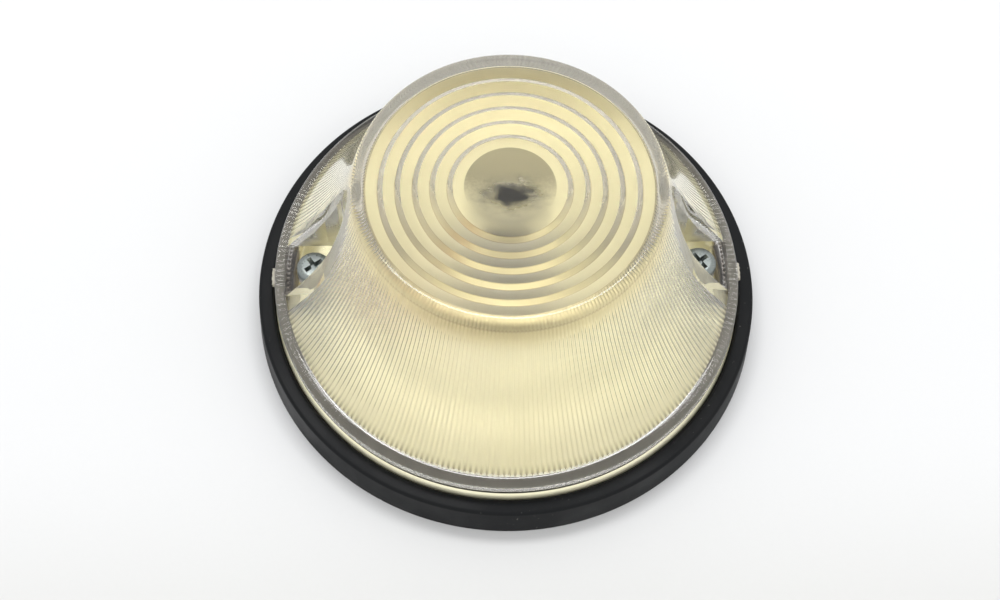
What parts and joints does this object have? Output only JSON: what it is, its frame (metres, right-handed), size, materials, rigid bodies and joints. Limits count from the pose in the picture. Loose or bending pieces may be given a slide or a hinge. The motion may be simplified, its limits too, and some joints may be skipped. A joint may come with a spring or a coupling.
{
  "type": "front position lamp",
  "caption": "Round vehicle position lamp: fluted clear lens with a ringed flat top, screw wells, metal base plate, bayonet bulb and black rubber gasket.",
  "frame": {"origin": "centre of the gasket's rear face, which meets the vehicle's panel", "axes": "+Z out of the panel towards the flat top of the lens, X through the two lens screws and the two fixing holes, Y across them"},
  "size_m": [0.1158, 0.116, 0.0529],
  "materials": {
    "gasket_rubber": "matt moulded black rubber",
    "plated_sheet": "bright plated sheet with a pale yellow passivation",
    "plated_steel": "turned plated steel",
    "clear_acrylic": "clear moulded acrylic, slightly yellowed",
    "seal_rubber": "matt brown-grey rubber",
    "zinc_screw": "dull zinc",
    "holder_steel": "plated deep-drawn sheet",
    "rivet_steel": "plated",
    "laminate": "brown paper laminate",
    "contact_brass": "rolled brass strip",
    "cap_brass": "nickel-washed brass",
    "black_bead": "glossy black insulating bead",
    "solder": "dull solder",
    "bulb_glass": "clear blown glass",
    "lead_wire": "drawn wire",
    "filament_wire": "dark coiled wire"
  },
  "bodies": {
    "root": {"base_gasket": "gasket_rubber", "base_plate": "plated_sheet", "screw_posts": "plated_steel", "lens": "clear_acrylic", "lens_seal": "seal_rubber", "lens_screws": "zinc_screw", "bulb_holder": "holder_steel", "holder_rivets": "rivet_steel", "insulator_plate": "laminate", "contact_spring": "contact_brass", "contact_rivet": "contact_brass", "feed_terminal": "contact_brass", "earth_terminal": "contact_brass", "earth_rivet": "rivet_steel", "bulb_cap": "cap_brass", "bulb_pins": "cap_brass", "bulb_insulator": "black_bead", "bulb_contact": "solder", "bulb_glass": "bulb_glass", "bulb_stem": "bulb_glass", "bulb_leads": "lead_wire", "bulb_filament": "filament_wire"}
  },
  "joints": []
}
